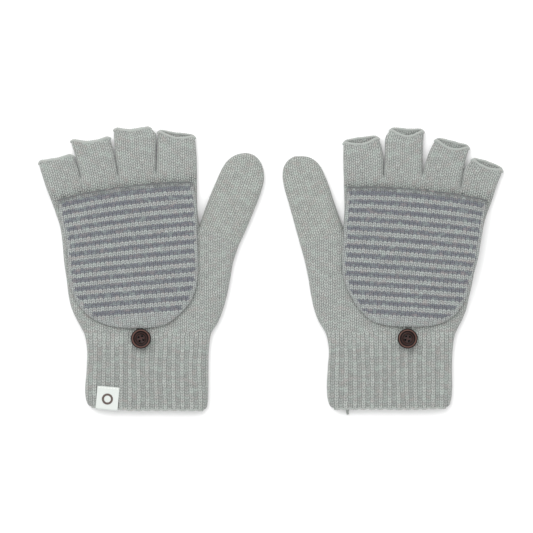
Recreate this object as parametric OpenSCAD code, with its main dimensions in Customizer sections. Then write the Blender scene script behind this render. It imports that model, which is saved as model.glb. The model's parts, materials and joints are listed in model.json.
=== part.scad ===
// A pair of knitted convertible mittens, lying flat with the back of the hand up.
// Each has four open finger tubes, a closed thumb, a ribbed cuff and a pouch-shaped cap that folds
// about a seam across the knuckles. At rest the cap lies folded back, looped onto a button.
// +X runs across the pair, +Y from the cuffs to the fingers, +Z up. Millimetres.

/* [Fabric] */
// Thickness of one layer of knitted fabric
wall = 1.2; // [1:0.1:1.3]
// Thickness of the hand and cuff, both layers and the air between them
hand_h = 9.6; // [9.4:0.1:11]
// Clearance between layers that move past each other
gap = 0.3; // [0.2:0.05:0.35]

/* [Cuff] */
// Length of the ribbed cuff, hem included
cuff_l = 50; // [46:1:51]
// Length of the bound-off hem at the cuff's edge
hem_l = 2.4; // [1.5:0.1:3]

/* [Cap] */
// Width of the hem at the mouth of the cap
mouth_hem_w = 2.4; // [1.5:0.1:3.5]
// Diameter of the seam that joins the cap to the back of the hand
seam_d = 1.8; // [1.4:0.1:1.8]
// Diameter of the button loop's cord
loop_d = 1.5; // [1:0.1:1.6]

/* [Button] */
// Diameter of the button
button_d = 14.2; // [12.5:0.1:14.4]
// Thickness of the button at its rim
button_t = 2.8; // [2.4:0.1:3.4]
// Height of the thread stem under the button
stem_h = 2.6; // [2.4:0.1:3]

/* [Fingers] */
// How much narrower the tubes are than the relaxed fabric, on each side
slack = 2.4; // [2.3:0.1:3]
// How much narrower the thumb is than its relaxed fabric, on each side
thumb_slack = 1.2; // [1:0.1:1.6]
// Length of the bound-off edge at each finger's opening
edge_l = 1.8; // [1.2:0.1:2.4]

/* [Label] */
// Width of the woven label
label_w = 15.6; // [12:0.1:18]
// Length of the label's outer leaf
label_l = 16; // [12:0.1:18]

/* [Pair] */
// Distance between the middles of the two cuffs
pair_pitch = 171.8; // [171:0.1:200]

/* [Hidden] */
$fn = 48;
eps = 0.01;
LEFT = 0;
RIGHT = 1;
FINGERS = ["index", "middle", "ring", "little"];
FINGER_NODES = [for (h = ["left_", "right_"], f = FINGERS) str(h, f, "_finger")];
EDGE_NODES = [for (h = ["left_", "right_"], f = FINGERS) str(h, f, "_edge")];
HAND_PARTS = ["cuff", "cuff_hem", "hand", "knuckle_band", "cap_seam", "thumb", "cap_back", "cap_palm",
    "cap_hem", "button_loop", "button", "button_thread", "thread_anchor"];
HAND_NODES = [for (h = ["left_", "right_"], p = HAND_PARTS) str(h, p)];
ONE_SIDE = ["left_label", "left_label_mark", "left_label_stitches", "right_yarn_tail"];
NODES = concat(HAND_NODES, FINGER_NODES, EDGE_NODES, ONE_SIDE);

// Heights above the surface that the pair lies on
finger_z = wall + 0.2;
finger_h = hand_h - 2 * wall - gap - 0.2;
thumb_z = 0.4;
thumb_h = hand_h - 1.2;
axis_z = hand_h + gap + wall / 2;
cap_back_z = axis_z - wall / 2;
cap_palm_z = axis_z + wall / 2 + gap;
loop_z = hand_h + gap + loop_d / 2;
button_z = hand_h + stem_h;

// Where each mitten's own origin, the middle of its cuff's edge, lies in the pair's frame
cuff_at = [[-pair_pitch / 2 - 1.57, -99.65], [pair_pitch / 2 - 1.57, -98.95]];

// Each mitten is drawn as a left one, with its thumb towards +X. The tables hold left, then right.
// Edge of the hand on the little finger's side and on the thumb's side, as [height, offset]
little_side = [
    [[0, -43], [44, -43], [50, -43.6], [59, -47.2], [72, -53.6], [93, -57.2], [118, -60], [136, -63.5],
        [149, -68]],
    [[0, -44], [42, -44.2], [50, -45.2], [59, -50.4], [72, -54.8], [91, -59.3], [116, -63.5], [134, -67.8],
        [147, -71.8]]
];
thumb_side = [
    [[0, 43], [44, 43], [50, 43.6], [59, 47.9], [72, 53.6], [93, 58.6], [110, 61.4], [118, 64.7]],
    [[0, 43.6], [42, 43], [50, 44.2], [59, 49.6], [72, 53.6], [91, 57.2], [108, 60], [117, 62]]
];
// Edge above the crotch of the thumb
index_side = [35.2, 32.6];
crotch = [[36.9, 128.5], [33, 127.4]];

// Seam of the cap: middle, tilt in degrees, half its length
seam_mid = [[-15.6, 155.5], [-19.5, 151.9]];
seam_tilt = [7.6, 5.3];
seam_half = [48.4, 49.6];
// Cap, from its seam: where the straight sides end, their half width there, and its whole length
cap_straight = [60, 58];
cap_half = [46, 47];
cap_l = [96.2, 93.4];
// Button: [along the seam, away from it]
button_at = [[-2.7, 104.5], [-2.6, 101.2]];

// Finger tubes: [base x, base y, tip x, tip y, relaxed width]
tubes = [
    [[20.5, 168.8, 20.2, 197.5, 27.6], [-7.5, 168.8, -9.2, 200.6, 27.6],
        [-34.4, 167.1, -41, 192.8, 26.8], [-58.9, 162.6, -66.4, 180, 23.6]],
    [[18.1, 165.1, 19.9, 190.6, 26.8], [-9.9, 165.1, -11.5, 198.1, 27],
        [-37.5, 161.7, -44.2, 188.6, 26.6], [-61.6, 154.3, -70.1, 173.8, 22.4]]
];
// Room at a tube's base for it to swing sideways: above and below the base
swing_room = [1.6, 1.2];
// Thumb: [base x, base y, centre of its round end x, y, half width]
thumbs = [[50.8, 123.2, 67.8, 169, 14.7], [47.8, 123.1, 61.2, 164.7, 14.7]];
// Label: middle, tilt in degrees
label_mid = [-28.4, 8];
label_tilt = -5;

function towards(p, q) = atan2(q[1] - p[1], q[0] - p[0]);
function apart(p, q) = norm(q - p);
function turned(v, a) = [v[0] * cos(a) - v[1] * sin(a), v[0] * sin(a) + v[1] * cos(a)];
// A point of the seam line, at distance u along it
function on_seam(s, u) = seam_mid[s] + turned([u, 0], seam_tilt[s]);
// The seam line's height at x
function seam_y(s, x) = seam_mid[s][1] + (x - seam_mid[s][0]) * tan(seam_tilt[s]);
// Stations of an edge table between two heights, moved sideways by m, lowest first
function edge(table, low, high, m) = concat(
    [[lookup(low, table) + m, low]],
    [for (p = table) if (p[0] > low && p[0] < high) [p[1] + m, p[0]]],
    [[lookup(high, table) + m, high]]);
function backwards(list) = [for (i = [len(list) - 1:-1:0]) list[i]];

// Puts a left mitten's shapes where the chosen mitten lies
module mitten(s) {
    translate(cuff_at[s])
        mirror([s == RIGHT ? 1 : 0, 0, 0])
            children();
}

// The cap's own frame: +X along the seam towards the thumb, -Y towards the cuff
module cap_frame(s) {
    translate(seam_mid[s])
        rotate(seam_tilt[s])
            children();
}

// A finger's or thumb's own frame: +Y along the tube, origin at its base
module tube_frame(base, tip) {
    translate(base)
        rotate(towards(base, tip) - 90)
            children();
}

module plate(z, h) {
    translate([0, 0, z])
        linear_extrude(h)
            children();
}

// A flat bar with half-round sides, along +Y from start to end, its underside at z
module stadium_bar(w, h, z, start, end) {
    translate([0, end, z + h / 2])
        rotate([90, 0, 0])
            linear_extrude(end - start) {
                square([w - h, h], center = true);
                for (side = [-1, 1])
                    translate([side * (w - h) / 2, 0])
                        circle(d = h);
            }
}

// Cuff and hem, plan from one height to another, inset by m
module cuff_plan(s, low, high, m) {
    polygon(concat(edge(thumb_side[s], low, high, -m), backwards(edge(little_side[s], low, high, m))));
}

module cuff_tube(s, low, high) {
    difference() {
        plate(0, hand_h) cuff_plan(s, low, high, 0);
        plate(wall, hand_h - 2 * wall) cuff_plan(s, low - 1, high + 1, wall);
    }
}

// Hand from the cuff to the seam line, inset by m at the sides and by front at the seam line
module hand_plan(s, m, front) {
    side_y = seam_y(s, little_side[s][8][1]);
    polygon(concat(
        edge(thumb_side[s], cuff_l - (m > 0 ? 1 : 0), thumb_side[s][7][0], -m),
        [crotch[s] - [m, m]],
        [[index_side[s] - m, seam_y(s, index_side[s]) - front]],
        [[lookup(side_y, little_side[s]) + m, side_y - front]],
        backwards(edge(little_side[s], cuff_l - (m > 0 ? 1 : 0), side_y - 6, m))));
}

// Band between the seam line and the fingers, inset by m and lengthened past the seam line by back
module knuckle_plan(s, m, back) {
    front = m - swing_room[1];
    polygon(concat(
        [[index_side[s] - m, seam_y(s, index_side[s]) - back]],
        [tube_corner(s, 0, 1, front) - [m, 0]],
        [for (f = [0:2], c = [[f, -1], [f + 1, 1]]) tube_corner(s, c[0], c[1], front)],
        [tube_corner(s, 3, -1, front) + [m, 0]],
        [[lookup(149, little_side[s]) + m, seam_y(s, -68) - back]]));
}

module thumb_socket(s, r) {
    translate([thumbs[s][0], thumbs[s][1], -1])
        cylinder(r = r, h = hand_h + 2);
}

module cuff(s) {
    color("#a2a6a2") cuff_tube(s, hem_l, cuff_l);
}

module cuff_hem(s) {
    color("#9a9e9b") cuff_tube(s, 0, hem_l);
}

module hand(s) {
    color("#a4a8a4")
        difference() {
            plate(0, hand_h) hand_plan(s, 0, 0);
            plate(wall, hand_h - 2 * wall) hand_plan(s, wall, wall);
            plate(finger_z + wall, finger_h - 2 * wall) knuckle_plan(s, wall, 2 * wall);
            thumb_socket(s, thumb_r(s) + gap);
        }
}

module knuckle_band(s) {
    color("#a4a8a4")
        difference() {
            plate(finger_z, finger_h) knuckle_plan(s, 0, 0);
            difference() {
                plate(finger_z + wall, finger_h - 2 * wall) knuckle_plan(s, wall, 1);
                for (f = [0:2])
                    translate((tube_corner(s, f, -1, -4) + tube_corner(s, f + 1, 1, -4)) / 2)
                        cylinder(r = 1.8, h = hand_h);
            }
        }
}

// Fingers
function base_of(t) = [t[0], t[1]];
function tip_of(t) = [t[2], t[3]];
function tube_w(t) = t[4] - 2 * slack;
function tube_l(t) = apart(base_of(t), tip_of(t));
// Point on a side of the relaxed tube, y above its base; side is 1 towards the thumb, else -1
function tube_corner(s, f, side, y) =
    base_of(tubes[s][f]) + turned([side * tubes[s][f][4] / 2, y],
        towards(base_of(tubes[s][f]), tip_of(tubes[s][f])) - 90);

module finger(s, f) {
    t = tubes[s][f];
    w = tube_w(t);
    color("#a4a8a4")
        tube_frame(base_of(t), tip_of(t))
            difference() {
                stadium_bar(w, finger_h, finger_z, swing_room[0], tube_l(t) - edge_l);
                stadium_bar(w - 2 * wall, finger_h - 2 * wall, finger_z + wall, 0, 60);
            }
}

module finger_edge(s, f) {
    t = tubes[s][f];
    w = tube_w(t);
    color("#9a9e9b")
        tube_frame(base_of(t), tip_of(t))
            difference() {
                stadium_bar(w, finger_h, finger_z, tube_l(t) - edge_l, tube_l(t));
                stadium_bar(w - 2 * wall, finger_h - 2 * wall, finger_z + wall, 0, 60);
            }
}

// Thumb, closed at its round end
function thumb_r(s) = thumbs[s][4] - thumb_slack;

module thumb_body(s, m) {
    t = thumbs[s];
    r = thumb_r(s) - m;
    l = apart(base_of(t), tip_of(t));
    tube_frame(base_of(t), tip_of(t))
        intersection() {
            stadium_bar(2 * r, thumb_h - 2 * m, thumb_z + m, -20, l + 20);
            union() {
                cylinder(r = thumb_r(s) + (m > 0 ? 1 : 0), h = hand_h);
                translate([-r, 0, 0]) cube([2 * r, l, hand_h]);
                translate([0, l, 0]) cylinder(r = r, h = hand_h);
            }
        }
}

module thumb(s) {
    color("#b4b7b4")
        difference() {
            thumb_body(s, 0);
            thumb_body(s, wall);
        }
}

// Cap
function cap_side(s, v) = seam_half[s] + (cap_half[s] - seam_half[s]) * v / cap_straight[s];
function cap_outline(s, start) = concat(
    [[cap_side(s, start), -start]],
    [for (a = [0:7.5:180])
        [cap_half[s] * cos(a), -cap_straight[s] - (cap_l[s] - cap_straight[s]) * pow(sin(a), 0.9)]],
    [[-cap_side(s, start), -start]]);

module cap_seam(s) {
    color("#8b8f8d")
        cap_frame(s)
            translate([-seam_half[s], 0, axis_z])
                rotate([0, 90, 0])
                    cylinder(d = seam_d, h = 2 * seam_half[s]);
}

module cap_back(s) {
    color("#a4a8a4")
        cap_frame(s)
            plate(cap_back_z, wall) polygon(cap_outline(s, seam_d / 2 + gap));
}

module cap_palm(s) {
    color("#8d9096")
        cap_frame(s)
            plate(cap_palm_z, wall) polygon(cap_outline(s, seam_d / 2 + gap + mouth_hem_w));
}

module cap_hem(s) {
    start = seam_d / 2 + gap;
    end = start + mouth_hem_w;
    color("#868a90")
        cap_frame(s)
            plate(cap_palm_z, wall)
                polygon([[cap_side(s, start), -start], [cap_side(s, end), -end],
                    [-cap_side(s, end), -end], [-cap_side(s, start), -start]]);
}

// Loop of cord from the cap's tip round the button's stem
loop_r = 3;

module button_loop(s) {
    v = button_at[s][1];
    start = cap_l[s] + gap;
    color("#9a9e9b")
        cap_frame(s)
            translate([button_at[s][0], -v, loop_z]) {
                for (side = [-1, 1])
                    translate([side * loop_r, 0, 0])
                        rotate([-90, 0, 0])
                            cylinder(d = loop_d, h = v - start);
                difference() {
                    rotate_extrude()
                        translate([loop_r, 0])
                            circle(d = loop_d);
                    translate([-10, 0, -5]) cube([20, 10, 10]);
                }
            }
}

// Button with four holes, on its thread stem
hole_at = 1.4;
hole_r = 0.85;
strand_r = 0.5;
stem_r = 1.5;

module at_button(s) {
    cap_frame(s)
        translate([button_at[s][0], -button_at[s][1], 0])
            rotate(12)
                children();
}

module at_holes() {
    for (x = [-1, 1], y = [-1, 1])
        translate([x * hole_at, y * hole_at, 0])
            children();
}

module button(s) {
    r = button_d / 2;
    t = button_t;
    color("#4a2f2a")
        at_button(s)
            translate([0, 0, button_z])
                difference() {
                    rotate_extrude($fn = 96)
                        polygon([[0, 0], [r - 1.6, 0], [r - 0.4, 0.5], [r, 1.2], [r, t - 0.8],
                            [r - 0.6, t], [r - 1.5, t], [r - 2.2, t - 0.7], [r - 2.9, t - 0.8],
                            [r - 3.4, t - 0.4], [r - 3.9, t - 0.9], [0, t - 1.1]]);
                    at_holes() translate([0, 0, -1]) cylinder(r = hole_r, h = t + 2, $fn = 24);
                }
}

module button_thread(s) {
    top = button_z + button_t - 1.1;
    color("#3c2a26")
        at_button(s) {
            translate([0, 0, hand_h]) cylinder(r = stem_r, h = stem_h - 0.1);
            at_holes()
                translate([0, 0, button_z - 1])
                    cylinder(r = strand_r, h = top + 0.1 + strand_r - button_z + 1, $fn = 16);
            for (y = [-1, 1])
                translate([-hole_at, y * hole_at, top + 0.1 + strand_r])
                    rotate([0, 90, 0])
                        cylinder(r = strand_r, h = 2 * hole_at, $fn = 16);
        }
}

// Knot that holds the button's thread on the inside of the fabric
module thread_anchor(s) {
    color("#3c2a26")
        at_button(s)
            translate([0, 0, hand_h - wall - 0.8])
                cylinder(r = 2.2, h = 0.8);
}

// Woven label, folded round the edge of the cuff's upper layer
label_t = 0.4;
// Inner side of the label's fold, just outside the edge of the cuff
label_fold = -label_mid[1] - 0.75;

module label_frame() {
    translate(label_mid)
        rotate(label_tilt)
            children();
}

module label() {
    color("#f2f4f0")
        label_frame()
            translate([-label_w / 2, 0, 0]) {
                translate([0, label_fold, hand_h]) cube([label_w, label_l, label_t]);
                translate([0, label_fold, hand_h - wall - label_t]) cube([label_w, label_l - 5, label_t]);
                translate([0, label_fold - label_t, hand_h - wall - label_t])
                    cube([label_w, label_t, wall + 2 * label_t]);
            }
}

// Plain embroidered ring
module label_mark() {
    color("#4b3d38")
        label_frame()
            translate([0, -1, hand_h + label_t])
                difference() {
                    cylinder(r = 3.9, h = 0.4);
                    translate([0, 0, -1]) cylinder(r = 2.6, h = 3);
                }
}

module label_stitches() {
    color("#dfe2dd")
        label_frame()
            for (i = [-3:3])
                translate([i * 2 - 0.6, label_fold + label_l - 1.3, hand_h + label_t])
                    cube([1.2, 0.4, 0.25]);
}

// End of yarn left at the cuff's edge
module yarn_tail() {
    color("#a2a6a2")
        translate([29, -2.6, 2.2])
            rotate([-90, 0, 0])
                cylinder(d = 1.6, h = 2.6);
}

module draw(name, s, prefix) {
    if (name == str(prefix, "cuff")) cuff(s);
    if (name == str(prefix, "cuff_hem")) cuff_hem(s);
    if (name == str(prefix, "hand")) hand(s);
    if (name == str(prefix, "knuckle_band")) knuckle_band(s);
    if (name == str(prefix, "cap_seam")) cap_seam(s);
    if (name == str(prefix, "thumb")) thumb(s);
    if (name == str(prefix, "cap_back")) cap_back(s);
    if (name == str(prefix, "cap_palm")) cap_palm(s);
    if (name == str(prefix, "cap_hem")) cap_hem(s);
    if (name == str(prefix, "button_loop")) button_loop(s);
    if (name == str(prefix, "button")) button(s);
    if (name == str(prefix, "button_thread")) button_thread(s);
    if (name == str(prefix, "thread_anchor")) thread_anchor(s);
    for (f = [0:3]) {
        if (name == str(prefix, FINGERS[f], "_finger")) finger(s, f);
        if (name == str(prefix, FINGERS[f], "_edge")) finger_edge(s, f);
    }
}

for (name = NODES)
    union() {
        mitten(LEFT) draw(name, LEFT, "left_");
        mitten(RIGHT) draw(name, RIGHT, "right_");
        if (name == "left_label") mitten(LEFT) label();
        if (name == "left_label_mark") mitten(LEFT) label_mark();
        if (name == "left_label_stitches") mitten(LEFT) label_stitches();
        if (name == "right_yarn_tail") mitten(RIGHT) yarn_tail();
    }
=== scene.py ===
"""A pair of knitted flip-top mittens, lying palms down with the caps folded back.

Lengths below are in millimetres unless a name says otherwise. Each mitten is worked out as a left one:
+x towards its thumb, +y towards its fingers, from the middle of its cuff's edge. world() puts it in place.
"""
import json
import math

import bpy
import numpy as np
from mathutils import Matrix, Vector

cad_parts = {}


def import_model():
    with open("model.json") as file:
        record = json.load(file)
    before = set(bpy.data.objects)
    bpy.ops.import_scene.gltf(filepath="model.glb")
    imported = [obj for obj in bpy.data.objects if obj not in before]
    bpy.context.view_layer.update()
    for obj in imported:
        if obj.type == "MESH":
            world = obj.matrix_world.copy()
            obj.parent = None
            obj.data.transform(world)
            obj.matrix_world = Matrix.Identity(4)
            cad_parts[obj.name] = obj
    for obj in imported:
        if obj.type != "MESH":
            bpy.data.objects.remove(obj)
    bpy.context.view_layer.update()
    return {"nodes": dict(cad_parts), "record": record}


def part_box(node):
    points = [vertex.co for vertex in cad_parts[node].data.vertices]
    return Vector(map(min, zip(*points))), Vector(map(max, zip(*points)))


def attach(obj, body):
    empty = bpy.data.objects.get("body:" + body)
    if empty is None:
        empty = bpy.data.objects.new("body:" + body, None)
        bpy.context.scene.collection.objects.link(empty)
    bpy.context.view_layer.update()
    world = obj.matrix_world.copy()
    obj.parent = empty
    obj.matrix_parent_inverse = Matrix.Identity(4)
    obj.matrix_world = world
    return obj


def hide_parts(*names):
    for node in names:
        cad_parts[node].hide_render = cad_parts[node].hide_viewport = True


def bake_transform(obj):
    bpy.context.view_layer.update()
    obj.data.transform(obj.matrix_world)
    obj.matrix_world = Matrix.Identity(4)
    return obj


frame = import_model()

MM = 0.001
SIDES = ("left", "right")
FINGERS = ("index", "middle", "ring", "little")
WALE = 3.1
COURSE = 1.95
CAP_WALE = 2.9
CAP_COURSE = 1.61
FABRIC = 1.15
CAP_FABRIC = 0.95
RIB_PITCH = 2 * WALE
RIB_DEPTH = 1.0
CUFF_END = 56.0
STRIPE_COURSES = 4.0
LAST_STRIPE_COURSE = 53.5

# Heights: the middle of the fabric tube, its top above that and its underside below it
HAND_HEIGHT = (4.8, 4.55, 4.65)
TUBE_HEIGHT = (4.75, 3.35, 3.35)
THUMB_HEIGHT = (4.65, 4.1, 4.15)
HAND_ROUND = 6.0
TUBE_ROUND = 5.0
# The pouch's middle, and its half height
CAP_HEIGHT = (11.2, 1.4)
CAP_ROUND = 3.4
CAP_SEAM_HEIGHT = 8.95
LOOP_HEIGHT = 10.65
LOOP_HALF_WIDTH = 3.0
# The finger pieces begin on this line, measured from the cap's seam
PIECE_START = -1.0
# Along a finger or the thumb, a length past where it joins the hand; points that far along are worked out and
# not used
FINGER_BEND = 11
THUMB_BEND = 15
# Just below the cap's seam, where the hand's thickness turns into the fingers'
THINNING = (-12, -6.5)
CUFF_HALF_WIDTH = 43
# Where each thumb's hinge stands on its own mitten
THUMB_HINGE = {"left": (50.8, 123.2), "right": (47.8, 123.1)}

OUTLINE = {
    "left": {
        "little_side": [(-39.2, 0.6), (-41.6, 2), (-43.2, 6), (-44.2, 12), (-43.3, 29), (-43, 44), (-45, 55),
            (-49.3, 63), (-53.6, 72), (-55.7, 80), (-57.4, 93), (-59.3, 106), (-60.5, 120), (-62.1, 131),
            (-65, 140), (-68, 148.4), (-71.4, 157), (-74.4, 166), (-77.8, 177.4)],
        "thumb_side": [(39, 0.4), (41.5, 1.6), (42.8, 6), (43.1, 14), (43.2, 30), (43.6, 44), (45.2, 55),
            (50, 63), (53.6, 72), (55.9, 80), (58.6, 93), (60.9, 106), (64.9, 118)],
        "index_side": [(36.8, 131.5), (35.4, 143), (35.1, 161.5), (34.8, 181), (33.6, 195.8)],
        "thumb_inner": [(36.8, 131.5), (41.8, 146), (48.6, 162.6), (52.6, 171.5), (56.8, 177.8), (62.8, 182),
            (70, 183.5)],
        "thumb_outer": [(64.9, 118), (69, 126.7), (75.6, 142.5), (80.7, 156), (82.7, 165), (82.2, 171.8),
            (79.4, 178.2), (75.3, 182), (70, 183.5)],
        "crotches": [(6, 170.3), (-20.9, 168.2), (-47.7, 166.4)],
        "inner_sides": {"middle": [(6, 186), (5.4, 198.2), (2, 202.3)],
            "ring": [(-24.3, 185), (-27.2, 195.4)], "little": [(-49.8, 174), (-53.6, 182.4)]},
        "outer_sides": {"index": [(6.7, 185), (7.4, 199.7)], "middle": [(-23.2, 183), (-23.9, 201.2)],
            "ring": [(-50.9, 179), (-54.8, 193.2)]},
        "mouth_dip": {"index": (3.6, 0.4), "middle": (2.6, 2.0), "ring": (3.4, 2.8), "little": (1.2, 0.8)},
        "cap_outer": [(-63.5, 149.1), (-61, 135), (-57.9, 121.4), (-56.4, 105.8), (-55, 91), (-50.8, 78.8),
            (-42.2, 68.2), (-29.5, 61.3), (-16, 58.9), (-6, 58.7)],
        "cap_inner": [(32.3, 161.9), (34.4, 149.8), (35.5, 128.5), (35.9, 107.2), (35.2, 91), (31.6, 79.5),
            (24.5, 70.3), (14.5, 62.3), (2.4, 59.2), (-6, 58.7)],
        "cap_bulge": 3.5,
        "first_stripe": 2,
        "stripe_shift": 0.36,
        "cuff_lift": 2.0,
    },
    "right": {
        "little_side": [(-39.6, 0.6), (-42.2, 2.4), (-43.8, 7), (-44.5, 14), (-44.5, 29), (-45, 43),
            (-47, 54.5), (-51.2, 63), (-54.5, 71), (-56.6, 80), (-59.3, 92), (-61.4, 105), (-63.6, 117),
            (-66.2, 128), (-69, 138), (-73, 149), (-76.8, 160.5), (-81, 171.2)],
        "thumb_side": [(38.6, 0.6), (41.6, 2.2), (43.8, 8), (44.3, 14), (43.7, 30), (43, 44), (45.4, 55),
            (50.2, 63), (53.2, 71), (55.3, 80), (57.4, 93), (60, 105.5), (63.2, 117)],
        "index_side": [(32.7, 128.9), (31.9, 141), (32.2, 160), (32.7, 177), (32.6, 191)],
        "thumb_inner": [(32.7, 128.9), (38, 144), (45.6, 166), (49, 173), (53.2, 177.6), (58, 179.9),
            (62.4, 180.4)],
        "thumb_outer": [(63.2, 117), (66.2, 128), (71.2, 146), (75, 160), (75.9, 167), (74.6, 173.6),
            (71.2, 178), (67, 180.2), (62.4, 180.4)],
        "crotches": [(4, 166.9), (-23.6, 167.9), (-50.9, 159)],
        "inner_sides": {"middle": [(3, 181), (2.3, 195), (-0.6, 200.2)], "ring": [(-27.8, 182), (-33, 193)],
            "little": [(-53, 170), (-59.4, 179)]},
        "outer_sides": {"index": [(4.4, 181), (7.6, 194.4)], "middle": [(-23.8, 184), (-24.5, 199.2)],
            "ring": [(-53.2, 173), (-57, 187.4)]},
        "mouth_dip": {"index": (4.2, -0.2), "middle": (5.2, 0.4), "ring": (4.6, -0.4), "little": (3.4, -0.6)},
        "cap_outer": [(-69.2, 148.3), (-68, 140), (-65, 120.7), (-62.6, 107), (-59.6, 95.9), (-53.4, 77.8),
            (-45.6, 67), (-34.4, 60.8), (-22, 59.2), (-10, 59.1)],
        "cap_inner": [(30.2, 157.6), (31.6, 142), (32.7, 120.7), (33.6, 103), (32.8, 94), (29.3, 84.6),
            (20.8, 70.6), (11.4, 62.8), (0, 59.8), (-10, 59.1)],
        "cap_bulge": 3.4,
        "first_stripe": 1,
        "stripe_shift": 0.14,
        "cuff_lift": 0.6,
    },
}
# Finger tubes' middle lines, from their bases to their tips
TUBE_LINE = {
    "left": [((20.5, 168.8), (20.2, 197.5)), ((-7.5, 168.8), (-9.2, 200.6)),
        ((-34.4, 167.1), (-41, 192.8)), ((-58.9, 162.6), (-66.4, 180))],
    "right": [((18.1, 165.1), (19.9, 190.6)), ((-9.9, 165.1), (-11.5, 198.1)),
        ((-37.5, 161.7), (-44.2, 188.6)), ((-61.6, 154.3), (-70.1, 173.8))],
}


# ---- Places, read from the frame ----

JOINTS = {j["name"]: j for j in frame["record"]["behaviour"]["joints"]}


def sign(side):
    """1 for the left mitten and -1 for the mirrored right one."""
    return 1.0 if side == "left" else -1.0


def cuff_middle(side):
    """World x and y of a mitten's own origin: its thumb's hinge, less that hinge's place in the mitten."""
    x, y, _ = JOINTS[side + "_thumb_swing"]["pos_m"]
    hinge = THUMB_HINGE[side]
    return np.array([x / MM - sign(side) * hinge[0], y / MM - hinge[1]])


ORIGIN = {side: cuff_middle(side) for side in SIDES}


def world(side, p):
    """Metres in the frame, from millimetres on a left mitten: x is mirrored on the right one."""
    p = np.asarray(p, float)
    out = p.copy()
    out[..., 0] = ORIGIN[side][0] + sign(side) * p[..., 0]
    out[..., 1] = ORIGIN[side][1] + p[..., 1]
    return out * MM


def local(side, p_m):
    """The inverse of world()."""
    p = np.asarray(p_m, float) / MM
    return np.array([(p[0] - ORIGIN[side][0]) * sign(side), p[1] - ORIGIN[side][1], *p[2:]])


def seam_frame(side):
    """Middle of the cap's seam and its two unit directions: along it to the thumb, and to the fingers."""
    joint = JOINTS[side + "_cap_fold"]
    middle = local(side, joint["pos_m"])[:2]
    along = np.array([-joint["axis"][0], -sign(side) * joint["axis"][1]])
    return middle, along, np.array([-along[1], along[0]])


SEAM = {side: seam_frame(side) for side in SIDES}


def to_cap(side, xy):
    """Cap coordinates: u along the seam, v from it, positive to the fingers."""
    middle, along, up = SEAM[side]
    d = np.asarray(xy, float) - middle
    return np.stack([d @ along, d @ up], -1)


def from_cap(side, u, v):
    """The inverse of to_cap(): the seam's middle plus u along it and v to the fingers."""
    middle, along, up = SEAM[side]
    return middle + np.asarray(u)[..., None] * along + np.asarray(v)[..., None] * up


# ---- Curves ----

def arc_length(line):
    """Length along a polyline at each of its points, from 0 at the first."""
    return np.concatenate([[0], np.cumsum(np.linalg.norm(np.diff(line, axis=0), axis=1))])


def smooth(points, n):
    """n points on a curve through the given ones: cubic pieces whose slopes at a point are those of the
    chord between its neighbours, with equal steps of arc length."""
    p = np.array(points, float)
    knots = arc_length(p)
    slope = np.gradient(p, knots, axis=0)
    t = np.linspace(0, knots[-1], 40 * len(p))
    i = np.clip(np.searchsorted(knots, t, side="right") - 1, 0, len(p) - 2)
    h = (knots[i + 1] - knots[i])[:, None]
    s = (t[:, None] - knots[i][:, None]) / h
    dense = ((2 * s**3 - 3 * s**2 + 1) * p[i] + (s**3 - 2 * s**2 + s) * h * slope[i]
        + (3 * s**2 - 2 * s**3) * p[i + 1] + (s**3 - s**2) * h * slope[i + 1])
    return resample(dense, np.linspace(0, 1, n))


def resample(line, fractions):
    """Points of a polyline at the given fractions of its length."""
    run = arc_length(line)
    at = np.asarray(fractions) * run[-1]
    return np.stack([np.interp(at, run, line[:, k]) for k in range(line.shape[1])], -1)


def step(x, start, end):
    """0 before start, 1 after end, with a smooth rise between."""
    t = np.clip((x - start) / (end - start), 0, 1)
    return t * t * (3 - 2 * t)


def dome(distance, width):
    """Height of a rounded edge, 0 to 1: a quarter of an ellipse over the given width, then flat."""
    q = 1 - np.clip(distance / width, 0, 1)
    return np.sqrt(np.maximum(0, 1 - q**2.2))


def columns(width, rounding, spacing):
    """Fractions of a width: even steps, and at both ends ten that shrink with the cosine of a quarter turn,
    where the fabric turns over."""
    edge = rounding * (1 - np.cos(np.linspace(0, math.pi / 2, 10))) / width
    count = max(3, round((width - 2 * rounding) / spacing))
    middle = np.linspace(edge[-1], 1 - edge[-1], count + 1)[1:-1]
    return np.concatenate([edge, middle, 1 - edge[::-1]])


def ripple(xy, seed, scale=1.0):
    """Slow unevenness of laid-down fabric, -1 to 1: a sum of a few sine waves in fixed directions."""
    rng = np.random.default_rng(seed)
    total = np.zeros(xy.shape[:-1])
    for length in (46.0, 31.0, 22.0, 15.0):
        angle, phase = rng.uniform(0, 2 * math.pi, 2)
        along = xy @ np.array([math.cos(angle), math.sin(angle)])
        total += np.sin(2 * math.pi * along / (length * scale) + phase) * length / 114.0
    return total


def distance_to(lines, xy):
    """Distance from each point to the nearest of some polylines."""
    points = xy.reshape(-1, 2)
    best = np.full(len(points), 1e9)
    for line in lines:
        a, b = line[:-1], line[1:]
        ab = b - a
        length = np.maximum((ab**2).sum(1), 1e-12)
        for first in range(0, len(points), 3000):
            p = points[first:first + 3000]
            t = np.clip(((p[:, None] - a) * ab).sum(-1) / length, 0, 1)
            gap = p[:, None] - (a + t[..., None] * ab)
            nearest = np.sqrt((gap**2).sum(-1)).min(1)
            best[first:first + 3000] = np.minimum(best[first:first + 3000], nearest)
    return best.reshape(xy.shape[:-1])


# ---- Meshes ----

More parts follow.
